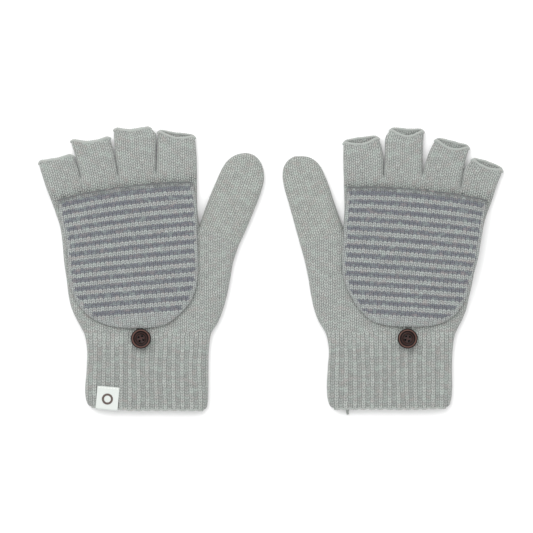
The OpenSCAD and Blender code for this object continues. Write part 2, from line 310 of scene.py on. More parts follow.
class Cloth:
    """Vertices, faces and stitch coordinates of a piece, gathered grid by grid in left-mitten millimetres."""

    def __init__(self, side):
        self.side = side
        self.points, self.faces, self.uvs, self.masks = [], [], [], []
        self.count = 0

    def grid(self, p, uv, mask=None, flip=False, closed=False):
        """A grid of points (rows, columns, 3); closed joins the last column to the first."""
        rows, columns = p.shape[:2]
        index = self.count + np.arange(rows * columns).reshape(rows, columns)
        right = np.roll(index, -1, axis=1) if closed else index[:, 1:]
        left = index if closed else index[:, :-1]
        quads = np.stack([left[:-1], right[:-1], right[1:], left[1:]], -1).reshape(-1, 4)
        if flip != (self.side == "right"):
            quads = quads[:, ::-1]
        self.points.append(p.reshape(-1, 3))
        self.faces.extend(quads.tolist())
        self.uvs.append(uv.reshape(-1, 2))
        self.masks.append(np.zeros(rows * columns) if mask is None else mask.reshape(-1))
        self.count += rows * columns

    def polygon(self, corners):
        """Closes a hole with one face on points of the last grid."""
        corners = [int(c) for c in corners]
        self.faces.append(corners[::-1] if self.side == "right" else corners)

    def piece(self, name, material, slot, thickness=0.0, weld=0.004):
        """The finished object: doubles merged, walls given their thickness inwards, smooth shading."""
        mesh = bpy.data.meshes.new(name)
        points = world(self.side, np.concatenate(self.points))
        mesh.from_pydata(points.tolist(), [], self.faces)
        loops = np.empty(len(mesh.loops), np.int32)
        mesh.loops.foreach_get("vertex_index", loops)
        layer = mesh.uv_layers.new(name="stitches")
        layer.data.foreach_set("uv", np.concatenate(self.uvs)[loops].astype(np.float32).reshape(-1))
        mask = mesh.attributes.new("mask", "FLOAT", "POINT")
        mask.data.foreach_set("value", np.concatenate(self.masks).astype(np.float32))
        obj = bpy.data.objects.new(name, mesh)
        bpy.context.scene.collection.objects.link(obj)
        apply(obj, "WELD", merge_threshold=weld * MM)
        if thickness:
            apply(obj, "SOLIDIFY", thickness=thickness * MM, offset=-1.0, use_even_offset=False)
        obj.data.polygons.foreach_set("use_smooth", np.ones(len(obj.data.polygons), bool))
        obj.data.set_sharp_from_angle(angle=math.radians(60))
        obj.data.materials.append(material)
        return obj


def apply(obj, kind, **settings):
    """Adds one modifier and keeps its result as the mesh."""
    modifier = obj.modifiers.new(kind.lower(), kind)
    for key, value in settings.items():
        setattr(modifier, key, value)
    graph = bpy.context.evaluated_depsgraph_get()
    mesh = bpy.data.meshes.new_from_object(obj.evaluated_get(graph), depsgraph=graph)
    obj.modifiers.clear()
    obj.data = mesh


def tube_rings(path, radius, reference, sides):
    """Rings round a path: radius times (cos a on the side vector + sin a on the up vector); the side vector
    is square to the path and to the reference direction."""
    tangent = np.gradient(path, axis=0)
    tangent /= np.linalg.norm(tangent, axis=1)[:, None]
    side = np.cross(tangent, np.asarray(reference, float))
    side /= np.linalg.norm(side, axis=1)[:, None]
    up = np.cross(side, tangent)
    a = np.linspace(0, 2 * math.pi, sides, endpoint=False)
    ring = np.cos(a)[None, :, None] * side[:, None] + np.sin(a)[None, :, None] * up[:, None]
    return path[:, None] + np.broadcast_to(radius, len(path))[:, None, None] * ring, side, up


def add_tube(cloth, path, radius, reference=(0, 0, 1), sides=8, looped=False):
    """A tube along a path, with flat ends, or with its last ring joined to its first where looped."""
    rings_with_painted_highlight, _, _ = tube_rings(path, radius, reference, sides)
    if looped:
        rings_with_painted_highlight[-1] = rings_with_painted_highlight[0]
    run = arc_length(path)
    uv = np.stack(np.meshgrid(np.arange(sides) / sides * 2, run / COURSE), -1)
    first = cloth.count
    cloth.grid(rings_with_painted_highlight, uv, closed=True, flip=True)
    if not looped:
        last = cloth.count - sides
        cloth.polygon(range(first, first + sides))
        cloth.polygon(range(last + sides - 1, last - 1, -1))


def add_yarn(cloth, path, radius, plies=2, pitch=3.0, reference=(0, 0, 1), looped=False, sides=7):
    """Twisted yarn: each ply is a tube whose middle winds round the path, half the radius from it, one turn
    a pitch; looped yarn has a whole number of turns."""
    run = arc_length(path)
    turns = run / pitch
    if looped:
        turns *= round(turns[-1]) / turns[-1]
    _, side, up = tube_rings(path, 1.0, reference, 3)
    if looped:
        side[-1], up[-1] = side[0], up[0]
    for ply in range(plies):
        a = 2 * math.pi * (turns + ply / plies)
        middle = path + 0.5 * np.broadcast_to(radius, len(path))[:, None] * (np.cos(a)[:, None] * side
            + np.sin(a)[:, None] * up)
        add_tube(cloth, middle, radius * 0.62, reference, sides, looped)


# ---- Shader maths ----

class Value:
    """A shader's number: arithmetic on it adds Math nodes."""

    def __init__(self, shader, socket):
        self.shader, self.socket = shader, socket

    def math(self, operation, *others):
        inputs = {0: self, **{k + 1: other for k, other in enumerate(others)}}
        return self.shader.add("ShaderNodeMath", {"operation": operation}, inputs)

    def __add__(self, other):
        return self.math("ADD", other)

    def __radd__(self, other):
        return self.math("ADD", other)

    def __sub__(self, other):
        return self.math("SUBTRACT", other)

    def __rsub__(self, other):
        return self.shader.value(other).math("SUBTRACT", self)

    def __mul__(self, other):
        return self.math("MULTIPLY", other)

    def __rmul__(self, other):
        return self.math("MULTIPLY", other)

    def __truediv__(self, other):
        return self.math("DIVIDE", other)

    def __abs__(self):
        return self.math("ABSOLUTE")

    def __lt__(self, other):
        return self.math("LESS_THAN", other)

    def __gt__(self, other):
        return self.math("GREATER_THAN", other)

    def floor(self):
        return self.math("FLOOR")

    def fraction(self):
        return self.math("FRACT")

    def sine(self):
        return self.math("SINE")

    def at_least(self, other):
        return self.math("MAXIMUM", other)

    def at_most(self, other):
        return self.math("MINIMUM", other)


class Shader:
    """A material with one Principled shader, built from expressions."""

    def __init__(self, name, roughness=0.9, sheen=0.0, **constants):
        self.material = bpy.data.materials.new(name)
        self.material.use_nodes = True
        self.tree = self.material.node_tree
        self.surface = self.tree.nodes["Principled BSDF"]
        self.surface.inputs["Roughness"].default_value = roughness
        self.surface.inputs["Sheen Weight"].default_value = sheen
        self.surface.inputs["Sheen Roughness"].default_value = 0.6
        for key, value in constants.items():
            self.surface.inputs[key.replace("_", " ")].default_value = value

    def value(self, number):
        """A plain number as a Value; a Value stays what it is."""
        if isinstance(number, Value):
            return number
        node = self.tree.nodes.new("ShaderNodeValue")
        node.outputs[0].default_value = number
        return Value(self, node.outputs[0])

    def add(self, kind, settings, inputs, output=0):
        """Adds a node: its settings first, then the numbers or links of its sockets."""
        node = self.tree.nodes.new(kind)
        for key, value in settings.items():
            setattr(node, key, value)
        for key, value in inputs.items():
            if isinstance(value, Value):
                self.tree.links.new(value.socket, node.inputs[key])
            else:
                node.inputs[key].default_value = value
        return Value(self, node.outputs[output])

    def stitches(self):
        """The piece's own stitch coordinates: wales across, courses along."""
        uv = self.add("ShaderNodeUVMap", {"uv_map": "stitches"}, {})
        parts = self.tree.nodes.new("ShaderNodeSeparateXYZ")
        self.tree.links.new(uv.socket, parts.inputs[0])
        return uv, Value(self, parts.outputs[0]), Value(self, parts.outputs[1])

    def mask(self):
        """The piece's own mask: a cap's distance from its edge in millimetres, or how deep between ribs."""
        return self.add("ShaderNodeAttribute", {"attribute_name": "mask"}, {}, 2)

    def join(self, x, y, z=0.0):
        """A vector from three numbers."""
        return self.add("ShaderNodeCombineXYZ", {}, {0: x, 1: y, 2: z})

    def place(self):
        """Object coordinates."""
        return self.add("ShaderNodeTexCoord", {}, {}, 3)

    def noise(self, vector, scale, detail=2.0, roughness=0.5):
        """Cloudy noise, about 0 to 1."""
        return self.add("ShaderNodeTexNoise", {}, {"Vector": vector, "Scale": scale, "Detail": detail,
            "Roughness": roughness})

    def white(self, vector):
        """A random number from 0 to 1, always the same for one vector."""
        return self.add("ShaderNodeTexWhiteNoise", {"noise_dimensions": "3D"}, {"Vector": vector})

    def mix(self, factor, a, b):
        """A colour between a and b."""
        node = self.tree.nodes.new("ShaderNodeMix")
        node.data_type = "RGBA"
        for key, value in ((0, factor), (6, a), (7, b)):
            if isinstance(value, Value):
                self.tree.links.new(value.socket, node.inputs[key])
            elif key == 0:
                node.inputs[key].default_value = value
            else:
                node.inputs[key].default_value = (*value, 1.0)
        return Value(self, node.outputs[2])

    def finish(self, colour, height=None, depth_mm=0.3, roughness=None):
        """The material, once its colour, its bump of a given depth and its roughness are linked."""
        self.tree.links.new(colour.socket, self.surface.inputs["Base Color"])
        if roughness is not None:
            self.tree.links.new(roughness.socket, self.surface.inputs["Roughness"])
        if height is not None:
            bump = self.add("ShaderNodeBump", {}, {"Strength": 1.0, "Distance": depth_mm * MM,
                "Height": height})
            self.tree.links.new(bump.socket, self.surface.inputs["Normal"])
        return self.material


def linear(r, g, b):
    """Linear colour from 8-bit display values."""
    c = np.array([r, g, b]) / 255
    return tuple(float(x) for x in np.where(c <= 0.04045, c / 12.92, ((c + 0.055) / 1.055) ** 2.4))


GREY = linear(172, 176, 172)
GREY_SHADE = linear(74, 78, 76)
PALE = linear(174, 178, 173)
PALE_SHADE = linear(77, 81, 78)
DARK = linear(112, 115, 124)
DARK_SHADE = linear(34, 36, 44)
CAP_LIGHT = linear(167, 171, 170)
EDGE = linear(180, 184, 180)
EDGE_SHADE = linear(120, 125, 121)
# Painted shadow: darker greys for the cap's mouth edge, the courses next to it and the seam, where the
# mouth's shadow falls
SHADOWED_MOUTH = linear(108, 112, 112)
MOUTH_SHADE = linear(40, 42, 44)
PINKISH = linear(178, 164, 160)
GREENISH = linear(150, 164, 156)


def knit_pattern(u, v, middle, offset, lean=1.25):
    """Height and cell of stockinette: in each wale two legs meet in a V. A leg's height is a parabola across
    its half of the wale, highest at middle, times a parabola along the yarn, whose phase leans with the
    distance from the wale's middle. Every second wale sits offset courses higher."""
    off = abs(u.fraction() - 0.5)
    leg = (1 - (off - middle) * (off - middle) * 14.0).at_least(0.0)
    phase = v - off * lean + (u.floor() * 0.5).fraction() * (2 * offset)
    along = phase.fraction() - 0.5
    yarn = 1 - along * along * 3.2
    return leg * yarn, phase.floor()


def fibre_tints(shader, uv, u, row, colour):
    """Heathered yarn: slow patches and single stitches of pinkish and greenish fibres."""
    cell = shader.white(shader.join(u.floor(), row))
    patch = shader.noise(uv, 0.5, 3.0, 0.6)
    pink = ((patch - 0.52) * 5.0 + (cell - 0.6)).at_least(0.0).at_most(1.0) * 0.34
    green = ((0.5 - patch) * 5.0 + (0.4 - cell)).at_least(0.0).at_most(1.0) * 0.4
    return shader.mix(green, shader.mix(pink, colour, PINKISH), GREENISH), cell


def knit(name, light, shade, stripes=None, rib=False, depth=0.42):
    """Knitted fabric on stitch coordinates, from shade to light by the legs' height with two noises added.
    stripes is (first course, its light, its shade): half of every STRIPE_COURSES courses has those."""
    shader = Shader(name, roughness=0.95, sheen=0.25)
    uv, u, v = shader.stitches()
    wobble = shader.noise(uv, 0.7, 2.0)
    u = u + (wobble - 0.5) * 0.5
    v = v + (shader.noise(uv, 1.2, 3.0) - 0.5) * 0.8
    middle, offset = (0.22, 0.25) if rib else (0.235, 0.1) if stripes else (0.25, 0.5)
    height, row = knit_pattern(u, v, middle, offset)
    if rib:
        bump = v.fraction() - 0.5
        height = height + shader.mask() * 0.5 * ((1 - bump * bump * 2.0) * 0.42 - height)
    fuzz = shader.noise(uv, 5.0, 3.0, 0.7)
    fine = shader.noise(uv, 16.0, 2.0, 0.7)
    strength = 1.5 if rib else 1.3
    tone = height * strength + (fuzz - 0.5) * 1.2 + (fine - 0.5) * 0.9 + 0.66 - 0.5 * strength
    tone = tone.at_least(0.0).at_most(1.0)
    low, high = shade, light
    if stripes:
        first, dark, dark_shade = stripes
        rim = shader.mask()
        band = ((row - float(first)) / STRIPE_COURSES + 0.01).fraction() < 0.49
        ragged = shader.white(shader.join(0.0, row, 7.0))
        inside = (rim + (fuzz - 0.5) * 1.4 + (ragged - 0.5) * 1.6) > 2.1
        lowest = row > float(first) - 0.5
        highest = row < float(first) + LAST_STRIPE_COURSE
        mask = band * inside * lowest * highest
        low, high = shader.mix(mask, low, dark_shade), shader.mix(mask, high, dark)
        # Courses before the first stripe go towards the shadowed mouth greys: painted shadow along the cap's
        # mouth edge
        mouth_shadow_rows = (row < float(first) - 0.5) * (shader.white(shader.join(u.floor(), row, 5.0)) * 0.6 + 0.35)
        low, high = shader.mix(mouth_shadow_rows, low, MOUTH_SHADE), shader.mix(mouth_shadow_rows, high, SHADOWED_MOUTH)
    colour = shader.mix(tone, low, high)
    if not rib and not stripes:
        # Near the seam, stitches go towards the shade colour at random and where the legs are low: painted
        # shade in the gaps of pulled stitches
        chance = shader.white(shader.join(u.floor(), row, 3.0))
        pulled_gap_shade = shader.mask() * ((chance - 0.35) * 1.5 + (0.4 - height) * 2.2)
        colour = shader.mix(pulled_gap_shade.at_least(0.0).at_most(0.9), colour, shade)
    if rib:
        # Towards the shade colour by the recess depth: painted shade between the ribs
        colour = shader.mix(shader.mask() * 0.24, shader.mix(0.12, colour, EDGE), shade)
    colour, cell = fibre_tints(shader, uv, u, row, colour)
    colour = shader.mix((cell - 0.5) * 0.24 + 0.12, colour, shade)
    return shader.finish(colour, height + (fuzz - 0.5) * 0.5 + (fine - 0.5) * 0.3, depth)


def yarn_material(name, light, shade):
    """Twisted yarn: fine fibres that follow the ply."""
    shader = Shader(name, roughness=0.95, sheen=0.25)
    uv, u, v = shader.stitches()
    fibres = shader.noise(shader.join(u * 5.0 + v * 0.8, v * 1.5), 2.0, 4.0, 0.7)
    colour, _ = fibre_tints(shader, uv, u * 2.0, v.floor(), shader.mix(fibres, shade, light))
    return shader.finish(colour, fibres, 0.2)


# ---- The glove's fabric ----

def split(line, values, at):
    """A polyline in two, where the values along it first pass a given one."""
    k = int(np.argmax(values >= at))
    t = (at - values[k - 1]) / (values[k] - values[k - 1])
    point = line[k - 1] * (1 - t) + line[k] * t
    return np.vstack([line[:k], point]), np.vstack([point, line[k:]])


def chain(*parts):
    """Points of several polylines, each given as (line, count), without their doubles."""
    rows = [resample(np.asarray(line, float), np.linspace(0, 1, n)) for line, n in parts]
    return np.vstack([rows[0], *(r[1:] for r in rows[1:])])


def span(a, b, fractions):
    """Plan points in rows between two curves."""
    f = np.asarray(fractions)[None, :, None]
    return a[:, None] * (1 - f) + b[:, None] * f


def stitch_grid(p, first=0.0):
    """Stitch coordinates of a grid: wales along each row from its middle column, positive to the thumb, and
    courses along the middle column."""
    across = np.linalg.norm(np.diff(p, axis=1), axis=-1)
    run = np.concatenate([np.zeros((len(p), 1)), np.cumsum(across, axis=1)], axis=1)
    middle = p.shape[1] // 2
    u = (run[:, middle:middle + 1] - run) / WALE
    along = np.linalg.norm(np.diff(p[:, middle], axis=0), axis=-1)
    v = first + np.concatenate([[0], np.cumsum(along)]) / COURSE
    return np.stack([u, np.broadcast_to(v[:, None], u.shape)], -1)


def with_height(xy, z):
    """Points of a plan lifted to the given height, one or one for each."""
    return np.concatenate([xy, np.broadcast_to(z, xy.shape[:-1])[..., None]], -1)


class Mitten:
    """One mitten's outline and the heights of its fabric."""

    def __init__(self, side):
        self.side = side
        o = self.outline = OUTLINE[side]
        self.little = smooth(o["little_side"], 130)
        self.thumb_side = smooth(o["thumb_side"], 80)
        self.index_side = smooth(o["index_side"], 40)
        self.thumb_inner = smooth(o["thumb_inner"], 50)
        self.thumb_outer = smooth(o["thumb_outer"], 60)
        self.crotches = [np.array(c, float) for c in o["crotches"]]
        self.feet = [from_cap(side, to_cap(side, c)[0], PIECE_START) for c in self.crotches]
        self.inner = {f: smooth([c, *o["inner_sides"][f]], 30) for c, f in zip(o["crotches"], FINGERS[1:])}
        self.outer = {f: smooth([c, *o["outer_sides"][f]], 30) for c, f in zip(o["crotches"], FINGERS[:-1])}
        self.sides = [self.little, self.thumb_side, self.index_side, self.thumb_inner, self.thumb_outer,
            *self.inner.values(), *self.outer.values()]

    def seam_distance(self, xy):
        """Distance past the line of the cap's seam, positive to the fingers."""
        return to_cap(self.side, xy)[..., 1]

    def heights(self, xy, thumb=0.0, ribs=True):
        """Top and underside of the fabric: the tube's middle, plus or minus its half height times a rounded
        edge over the distance from the outline. The half height turns from the hand's to the fingers' just
        below the seam, and to the thumb's past its base. Between ribs it is less, and slow dips make it
        uneven."""
        finger = step(self.seam_distance(xy), *THINNING)
        middle, top, under = (h + (t - h) * thumb + (f - h) * finger
            for h, f, t in zip(HAND_HEIGHT, TUBE_HEIGHT, THUMB_HEIGHT))
        rounding = HAND_ROUND + (TUBE_ROUND - HAND_ROUND) * finger
        d = distance_to(self.sides, xy)
        edge = 0.84 * dome(d, rounding) + 0.16 * dome(d, 2.4 * rounding)
        seed = 5 if self.side == "left" else 9
        uneven = 0.5 + 0.5 * np.clip(ripple(xy, seed), -1, 1)
        top = top * edge - 0.4 * uneven * step(d, 0.5, 6)
        under = under * edge - 0.2 * uneven * step(d, 0.5, 6)
        recess = self.recess(xy) * step(d, 0.6, 4.5) * RIB_DEPTH if ribs else 0.0
        return middle + top - recess, middle - under + recess

    def rib_place(self, xy):
        """Distance across the ribs: x plus a slow sway, as ribs don't lie quite straight."""
        return xy[..., 0] + 0.7 * ripple(xy, 21 if self.side == "left" else 22, 1.3)

    def recess(self, xy):
        """0 on a rib and 1 between two: half of one minus a cosine, squared, faded out past the cuff."""
        wave = np.cos(2 * math.pi * self.rib_place(xy) / RIB_PITCH)
        ragged = 1.5 * ripple(xy, 33, 0.3)
        return (0.5 - 0.5 * wave) ** 2 * (1 - step(xy[..., 1] + ragged, 42, 54))

    def sheets(self, cloth, xy, thumb=0.0, ribs=False, dip=None, flatten=0.0, straight=False):
        """Both layers of a part of the glove, and their last rows. flatten lowers the top layer to the tube's
        middle, by up to that share in the last rows. straight keeps the wales along the hand."""
        last = []
        sink = flatten * np.linspace(0, 1, len(xy))[:, None] ** 3
        for k, upper in enumerate((True, False)):
            plan = xy if dip is None else xy + dip[k]
            z = self.heights(xy, thumb, ribs)[k]
            if upper:
                z = z - sink * (z - TUBE_HEIGHT[0])
            p = with_height(plan, z)
            if ribs:
                uv = stitch_grid(with_height(xy, self.heights(xy, thumb, False)[k]))
                middle = xy.shape[1] // 2
                uv[..., 0] += 0.5 + (xy[:, middle:middle + 1, 0] + self.rib_place(xy) - xy[..., 0]) / WALE
                cloth.grid(p, uv, self.recess(xy), flip=upper)
            else:
                on_thumb = np.ndim(thumb) > 0
                # near is 1 close to the cap's seam, where the knit shader paints shade into the stitches
                near = (1 - step(abs(self.seam_distance(xy) - 2), 2, 7)) * (0.0 if on_thumb else 1.0)
                uv = stitch_grid(p)
                if straight:
                    uv[..., 0] += xy[:, xy.shape[1] // 2, None, 0] / WALE
                    uv[..., 1] = xy[..., 1] / COURSE
                cloth.grid(p, uv, near, flip=upper)
            last.append(p[[0, -1]])
        return last

    def finger_edges(self, finger):
        """A finger's two long edges in plan, from the line of the seam to its mouth."""
        k = FINGERS.index(finger)
        low, high = 10, 30
        if finger != "little":
            b = chain((np.array([self.feet[k], self.crotches[k]]), low), (self.outer[finger], high))
        if finger != "index":
            a = chain((np.array([self.feet[k - 1], self.crotches[k - 1]]), low), (self.inner[finger], high))
        if finger == "index":
            above = split(self.index_side, self.seam_distance(self.index_side), PIECE_START)[1]
            a = resample(above, along_fractions(b))
        if finger == "little":
            above = split(self.little, self.seam_distance(self.little), PIECE_START)[1]
            b = resample(above, along_fractions(a))
        return a, b


def along_fractions(line):
    """Share of a polyline's length at each of its points."""
    run = arc_length(line)
    return run / run[-1]


def rolled_edge(cloth, top, under, radius, pitch=WALE / 2, inset=0.0):
    """A lip round an opening, with a bump for each stitch: radius times (1 + 0.12 cos) along the opening."""
    loop = np.vstack([top, under[::-1][1:]])
    middle = loop[:, 2].mean()
    loop[:, 2] = middle + (loop[:, 2] - middle) * (1 - inset)
    length = np.linalg.norm(np.diff(loop, axis=0), axis=1).sum()
    count = int(length / 0.36)
    path = resample(loop, np.linspace(0, 1, count + 1))
    stitches = round(length / pitch)
    wave = np.cos(2 * math.pi * np.linspace(0, stitches, count + 1))
    add_tube(cloth, path, radius * (1 + 0.12 * wave), (0, 1, 0), 9, looped=True)


def tube_direction(side, finger):
    """Base of a finger tube's middle line, and the unit direction from there to its tip."""
    base, tip = (np.array(p, float) for p in TUBE_LINE[side][FINGERS.index(finger)])
    return base, (tip - base) / np.linalg.norm(tip - base)


def build_cuff(m, materials):
    """The ribbed cuff, lifted a little at its edge, and the cast-on edge."""
    side = m.side
    body = side + "_mitten"
    cuff_a = split(m.thumb_side, m.thumb_side[:, 1], CUFF_END)[0]
    cuff_b = split(m.little, m.little[:, 1], CUFF_END)[0]
    cloth = Cloth(side)
    xy = span(chain((cuff_a, 44)), chain((cuff_b, 44)), columns(87, HAND_ROUND, 0.6))
    at_edge = 1 - step(xy[..., 1], 0, 9)
    from_sides = abs(abs(xy[..., 0]) - CUFF_HALF_WIDTH)
    wavy = at_edge * step(from_sides, 0, 8)
    lift = m.outline["cuff_lift"] * step(-xy[..., 0], 8, 34) * at_edge
    lift += wavy * (m.recess(xy) * 0.45 + 0.2 + 0.35 * ripple(xy, 31))
    shift = np.stack([np.zeros_like(lift), lift], -1)
    ends = m.sheets(cloth, xy, ribs=True, dip=(shift, shift))
    cuff = cloth.piece(side + "_cuff_ribbing", materials["rib_knit"], "rib_knit", FABRIC)
    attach(cuff, body)
    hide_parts(side + "_cuff")

    cloth = Cloth(side)
    rolled_edge(cloth, ends[0][0], ends[1][0], 0.72, inset=0.12)
    hem = cloth.piece(side + "_cuff_cast_on_edge", materials["edge_yarn"], "edge_yarn")
    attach(hem, body)
    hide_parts(side + "_cuff_hem")


def build_hand(m, materials):
    """The hand, from the cuff to the cap's seam, and across the thumb's base on the way."""
    side = m.side
    thumb_side = split(m.thumb_side, m.thumb_side[:, 1], CUFF_END)[1]
    little = split(m.little, m.little[:, 1], CUFF_END)[1]
    index_part = split(m.index_side, m.seam_distance(m.index_side), PIECE_START)[0]
    to_seam = split(little, m.seam_distance(little), PIECE_START)[0]
    low, rest = split(to_seam, to_seam[:, 1], m.thumb_side[-1][1])
    mid, top = split(rest, rest[:, 1], m.index_side[0][1] - 3)
    base_line = np.array([m.thumb_side[-1], m.index_side[0]])
    a = chain((thumb_side, 46), (base_line, 16), (index_part, 24))
    b = chain((low, 46), (mid, 16), (top, 24))
    cloth = Cloth(side)
    m.sheets(cloth, span(a, b, columns(115, HAND_ROUND, 1.5)), straight=True)
    hand = cloth.piece(side + "_hand_fabric", materials["grey_knit"], "grey_knit", FABRIC)
    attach(hand, side + "_mitten")
    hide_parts(side + "_hand", side + "_knuckle_band")


def build_fingers(m, materials):
    """Open finger tubes, bowed in at their mouths, each with its bound-off edge."""
    side = m.side
    for finger in FINGERS:
        a, b = m.finger_edges(finger)
        fractions = columns(27, TUBE_ROUND, 1.1)
        xy = span(a, b, fractions)
        base, direction = tube_direction(side, finger)
        rows = np.linspace(0, 1, len(a))[:, None]
        bow = (4 * fractions * (1 - fractions))[None, :] * rows**3
        corner = np.maximum(0, 1 - np.minimum(fractions, 1 - fractions) * 9)[None, :] ** 2 * 2.0 * rows**10
        wavy = 0.45 * ripple(xy, 40 + FINGERS.index(finger), 0.35) * bow
        depths = m.outline["mouth_dip"][finger]
        dips = [-(bow * depth + corner + wavy)[..., None] * direction for depth in depths]
        cloth = Cloth(side)
        ends = m.sheets(cloth, xy, dip=dips, flatten=0.42)
        tube = cloth.piece(f"{side}_{finger}_finger_fabric", materials["grey_knit"], "grey_knit", FABRIC)
        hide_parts(f"{side}_{finger}_finger")
        start = max((c - base) @ direction for c in m.crotches[max(0, FINGERS.index(finger) - 1):][:2]) + 0.2
        if finger in ("index", "little"):
            start = (m.crotches[0 if finger == "index" else 2] - base) @ direction + 0.2
        world(side, [*(base + direction * start), 4.75])
        world(side, [*(base + direction * (start + FINGER_BEND)), 4.75])
        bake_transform(tube)
        cloth = Cloth(side)
        rolled_edge(cloth, ends[0][1], ends[1][1], 0.95, inset=0.24)
        edge = cloth.piece(f"{side}_{finger}_bound_off_edge", materials["edge_yarn"], "edge_yarn")
        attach(edge, f"{side}_{finger}")
        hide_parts(f"{side}_{finger}_edge")


def build_thumb(m, materials):
    """The thumb, a closed tube that grows out of the hand at a line across its base."""
    side = m.side
    fractions = columns(30, HAND_ROUND, 1.1)
    a, b = chain((m.thumb_outer, 62)), chain((m.thumb_inner, 62))
    xy = span(a, b, fractions)
    joint = JOINTS[side + "_thumb_swing"]
    base = local(side, joint["pos_m"])[:2]
    direction = m.thumb_outer[-1] - base
    direction /= np.linalg.norm(direction)
    line_at = m.index_side[0] - m.thumb_side[-1]
    square = np.array([line_at[1], -line_at[0]]) / np.linalg.norm(line_at)
    past = abs((xy - m.thumb_side[-1]) @ square)
    cloth = Cloth(side)
    m.sheets(cloth, xy, thumb=step(past, 0, 12))
    thumb = cloth.piece(side + "_thumb_fabric", materials["thumb_knit"], "thumb_knit", FABRIC)
    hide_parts(side + "_thumb")
    start = max((p - base) @ direction for p in (m.index_side[0], m.thumb_side[-1])) + 0.2
    world(side, [*(base + direction * start), 4.6])
    world(side, [*(base + direction * (start + THUMB_BEND)), 4.6])
    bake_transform(thumb)


# ---- The flip cap ----

def build_cap(side, materials):
    """The cap's pouch and the edge of its mouth. The pouch spans its two sides, at its middle height plus or
    minus its half height times a rounded edge, and its courses follow the curve of the mouth."""
    o = OUTLINE[side]
    centre, half = CAP_HEIGHT
    outer, inner = smooth(o["cap_outer"], 86), smooth(o["cap_inner"], 86)
    fractions = columns(96, CAP_ROUND, 1.35)
    xy = span(inner, outer, fractions)
    d = distance_to([outer, inner], xy)
    edge = 0.8 * dome(d, CAP_ROUND) + 0.2 * dome(d, 12)
    rows = np.linspace(0, 1, len(outer))[:, None]
    up = SEAM[side][2]
    bow = (4 * fractions * (1 - fractions))[None, :] ** 0.7
    bulge = bow * np.clip(1 - rows / 0.14, 0, 1) * o["cap_bulge"]
    uneven = 0.3 * np.clip(ripple(xy, 13 if side == "left" else 17), -1, 1) * step(d, 1, 9)
    cloth = Cloth(side)
    top_plan = xy + bulge[..., None] * up
    sunk_mouth = 0.25 * np.exp(-rows / 0.02)
    top = with_height(top_plan, centre + half * edge + np.maximum(uneven, -0.02) - sunk_mouth)
    under = with_height(xy, centre - half * edge)
    place = to_cap(side, top_plan)
    u, v = place[..., 0], place[..., 1]
    tilt = 0.063 if side == "left" else 0.03
    drop = o["cap_bulge"] * (1 - bow) * np.exp(np.minimum(v, 0) / 22)
    course = (o["cap_bulge"] - v - drop - tilt * u * np.clip(-v / 96, 0, 1)) / CAP_COURSE + o["stripe_shift"]
    for p, upper in ((top, True), (under, False)):
        uv = stitch_grid(p) * (WALE / CAP_WALE)
        uv[..., 1] = course
        cloth.grid(p, uv, d, flip=not upper)
    pouch = cloth.piece(side + "_cap_pouch", materials["striped_knit_" + side], "striped_knit", CAP_FABRIC)
    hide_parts(side + "_cap_back", side + "_cap_palm")
    middle = world(side, [*from_cap(side, 0.0, -40.0), 0.0])
    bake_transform(pouch)

    cloth = Cloth(side)
    hem_line = resample(top[0], np.linspace(0.004, 0.996, 260))
    hem_line[:, 2] -= 0.3
    wave = 1 + 0.12 * np.cos(2 * math.pi * np.linspace(0, 64, 260))
    add_tube(cloth, hem_line, 0.66 * wave, (0, 1, 0), 9)
    # The mouth edge's yarn has the shadowed mouth greys: painted shadow
    hem = cloth.piece(side + "_cap_mouth_edge", materials["shadowed_mouth_yarn"], "edge_yarn")
    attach(hem, side + "_cap_palm")
    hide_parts(side + "_cap_hem")


def build_cap_seam(side, materials):
    """The yarn seam across the knuckles: a sine wave with one turn a wale."""
    cloth = Cloth(side)
    corners = np.array([OUTLINE[side]["cap_outer"][0], OUTLINE[side]["cap_inner"][0]], float)
    ends = to_cap(side, corners)[:, 0]
    line = np.linspace(ends[0] + 1.0, ends[1] - 1.0, 330)
    sway = 0.25 * np.sin(2 * math.pi * line / WALE)
    path = with_height(from_cap(side, line, sway), CAP_SEAM_HEIGHT)
    add_yarn(cloth, path, 0.72, 2, WALE)
    seam = cloth.piece(side + "_cap_seam_stitches", materials["seam_yarn"], "seam_yarn")
    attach(seam, side + "_mitten")
    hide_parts(side + "_cap_seam")


def build_loop(side, materials):
    """The button loop: two straight legs from the cap's tip, joined by half a circle round the stem."""
    cloth = Cloth(side)
    button = button_place(side)
    reach = to_cap(side, button)
    tip = OUTLINE[side]["cap_outer"][-1][1]
    legs = np.linspace(reach[1] + (tip - button[1]) + 1.2, reach[1], 16)
    arc = np.linspace(0, math.pi, 30)[1:-1]
    r = LOOP_HALF_WIDTH
    u = np.concatenate([np.full(16, r), r * np.cos(arc), np.full(16, -r)]) + reach[0]
    v = np.concatenate([legs, reach[1] - r * np.sin(arc), legs[::-1]])
    path = with_height(from_cap(side, u, v), LOOP_HEIGHT)
    add_yarn(cloth, resample(path, np.linspace(0, 1, 110)), 0.7, 2, 2.4)
    loop = cloth.piece(side + "_button_loop_cord", materials["loop_yarn"], "loop_yarn")
    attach(loop, side + "_button_loop")
    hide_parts(side + "_button_loop")


# ---- Buttons, label and yarn end ----

def button_place(side):
    """The button's middle in plan."""
    low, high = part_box(side + "_button")
    return local(side, (low + high) / 2)[:2]


